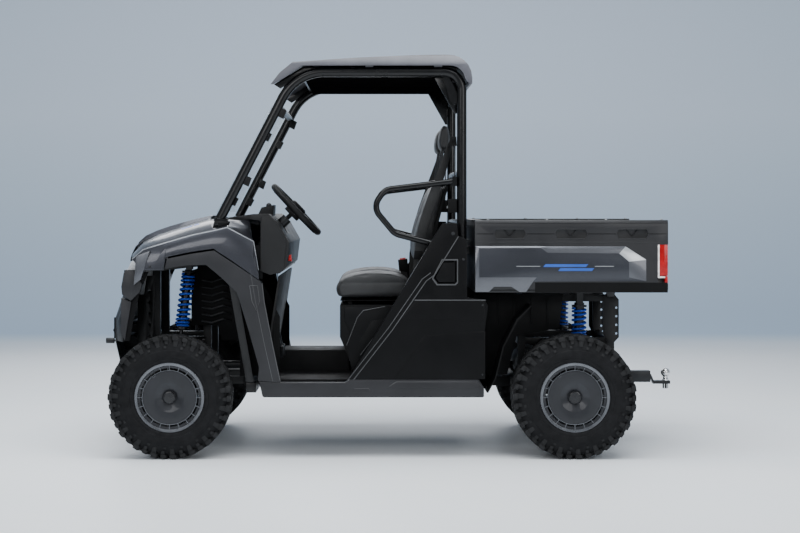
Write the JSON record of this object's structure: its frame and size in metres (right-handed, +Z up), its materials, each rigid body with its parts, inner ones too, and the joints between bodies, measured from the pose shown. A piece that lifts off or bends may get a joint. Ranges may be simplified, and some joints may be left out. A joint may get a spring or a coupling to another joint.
{
  "type": "side by side utv",
  "caption": "Two-seat side by side utility vehicle with roll cage, roof, tilting cargo bed with drop tailgate, coil-sprung wheels, steering and tow hitch.",
  "frame": {"origin": "on the ground, under the centre of the overall box", "axes": "+X forwards, +Y to the left, +Z up"},
  "size_m": [3.0609, 1.524, 2.039],
  "materials": {
    "frame_paint": "satin powder coat",
    "raw_steel": "machined steel",
    "cast_alloy": "cast",
    "battery_case": "matt",
    "damper_black": "gloss",
    "spring_blue": "gloss powder coat",
    "black_plastic": "fine moulded grain",
    "metallic_grey": "gunmetal metallic",
    "lamp_lens": "clear lens",
    "floor_plastic": "ribbed",
    "seat_vinyl": "grained vinyl",
    "belt_web": "woven webbing",
    "roof_plastic": "satin",
    "clear_screen": "clear polycarbonate",
    "tail_red": "gloss",
    "tyre_rubber": "matt",
    "rim_alloy": "dark satin with bright lip",
    "grip_rubber": "soft grip"
  },
  "bodies": {
    "root": {"chassis_frame": "frame_paint", "cab_posts": "frame_paint", "front_subframe": "frame_paint", "rear_subframe": "frame_paint", "battery_pack": "battery_case", "drive_motor": "cast_alloy", "front_differential": "cast_alloy", "drive_shafts": "raw_steel", "suspension_arms": "frame_paint", "rear_uprights": "cast_alloy", "dampers": "damper_black", "springs": "spring_blue", "steering_gear": "frame_paint", "front_bumper": "black_plastic", "headlights": "lamp_lens", "front_fenders": "metallic_grey", "fender_flares": "black_plastic", "dash": "black_plastic", "floor_pan": "floor_plastic", "side_sills": "black_plastic", "seat_base": "black_plastic", "side_panels": "black_plastic", "wheel_liners": "floor_plastic", "seat_cushions": "seat_vinyl", "seat_backs": "seat_vinyl", "head_rests": "seat_vinyl", "seat_belts": "belt_web", "roll_cage": "frame_paint", "roof": "roof_plastic", "windshield": "clear_screen", "guard_bars": "frame_paint", "tow_hitch": "frame_paint", "winch": "raw_steel", "pedals": "grip_rubber"},
    "left_knuckle": {"left_knuckle": "cast_alloy"},
    "right_knuckle": {"right_knuckle": "cast_alloy"},
    "steering_wheel": {"steering_wheel": "grip_rubber"},
    "tie_rods": {"tie_rods": "raw_steel"},
    "front_left_wheel": {"front_left_tyre": "tyre_rubber", "front_left_rim": "rim_alloy"},
    "front_right_wheel": {"front_right_tyre": "tyre_rubber", "front_right_rim": "rim_alloy"},
    "rear_left_wheel": {"rear_left_tyre": "tyre_rubber", "rear_left_rim": "rim_alloy"},
    "rear_right_wheel": {"rear_right_tyre": "tyre_rubber", "rear_right_rim": "rim_alloy"},
    "cargo_bed": {"cargo_bed": "black_plastic", "bed_trim": "metallic_grey", "tail_lights": "tail_red"},
    "tailgate": {"tailgate": "black_plastic"},
    "hood": {"hood": "metallic_grey"},
    "charge_flap": {"charge_flap": "black_plastic"}
  },
  "joints": [
    {"name": "front_left_steer", "type": "hinge", "parent": "root", "child": "left_knuckle", "pos_m": [1.1, 0.585, 0.31], "axis": [0, 0, 1], "range_deg": [-28, 28]},
    {"name": "front_right_steer", "type": "hinge", "parent": "root", "child": "right_knuckle", "pos_m": [1.1, -0.585, 0.31], "axis": [0, 0, 1], "range_deg": [-28, 28]},
    {"name": "steering_wheel_turn", "type": "hinge", "parent": "root", "child": "steering_wheel", "pos_m": [0.484, 0.33, 1.251], "axis": [-0.7219, 0, 0.6919], "range_deg": [-252.5, 252.5]},
    {"name": "rack_travel", "type": "slide", "parent": "root", "child": "tie_rods", "axis": [0, -1, 0], "range_m": [-0.06, 0.06]},
    {"name": "front_left_spin", "type": "hinge", "parent": "left_knuckle", "child": "front_left_wheel", "pos_m": [1.1, 0.66, 0.31], "axis": [0, 1, 0], "continuous": true},
    {"name": "front_right_spin", "type": "hinge", "parent": "right_knuckle", "child": "front_right_wheel", "pos_m": [1.1, -0.66, 0.31], "axis": [0, 1, 0], "continuous": true},
    {"name": "rear_left_spin", "type": "hinge", "parent": "root", "child": "rear_left_wheel", "pos_m": [-0.93, 0.635, 0.31], "axis": [0, 1, 0], "continuous": true},
    {"name": "rear_right_spin", "type": "hinge", "parent": "root", "child": "rear_right_wheel", "pos_m": [-0.93, -0.635, 0.31], "axis": [0, 1, 0], "continuous": true},
    {"name": "bed_tilt", "type": "hinge", "parent": "root", "child": "cargo_bed", "pos_m": [-1.165, 0, 0.81], "axis": [0, -1, 0], "range_deg": [0, 45]},
    {"name": "tailgate_drop", "type": "hinge", "parent": "cargo_bed", "child": "tailgate", "pos_m": [-1.391, 0, 0.848], "axis": [0, -1, 0], "range_deg": [0, 90]},
    {"name": "hood_lift", "type": "hinge", "parent": "root", "child": "hood", "pos_m": [1.312, 0, 0.962], "axis": [0, 1, 0], "range_deg": [0, 50]},
    {"name": "charge_flap_open", "type": "hinge", "parent": "root", "child": "charge_flap", "pos_m": [-0.329, 0.69, 0.935], "axis": [0, 0, 1], "range_deg": [0, 95]}
  ],
  "couplings": [
    {"joint": "front_right_steer", "follows": "front_left_steer", "ratio": 1},
    {"joint": "steering_wheel_turn", "follows": "front_left_steer", "ratio": 9},
    {"joint": "rack_travel", "follows": "front_left_steer", "m_per_rad": 0.112}
  ]
}
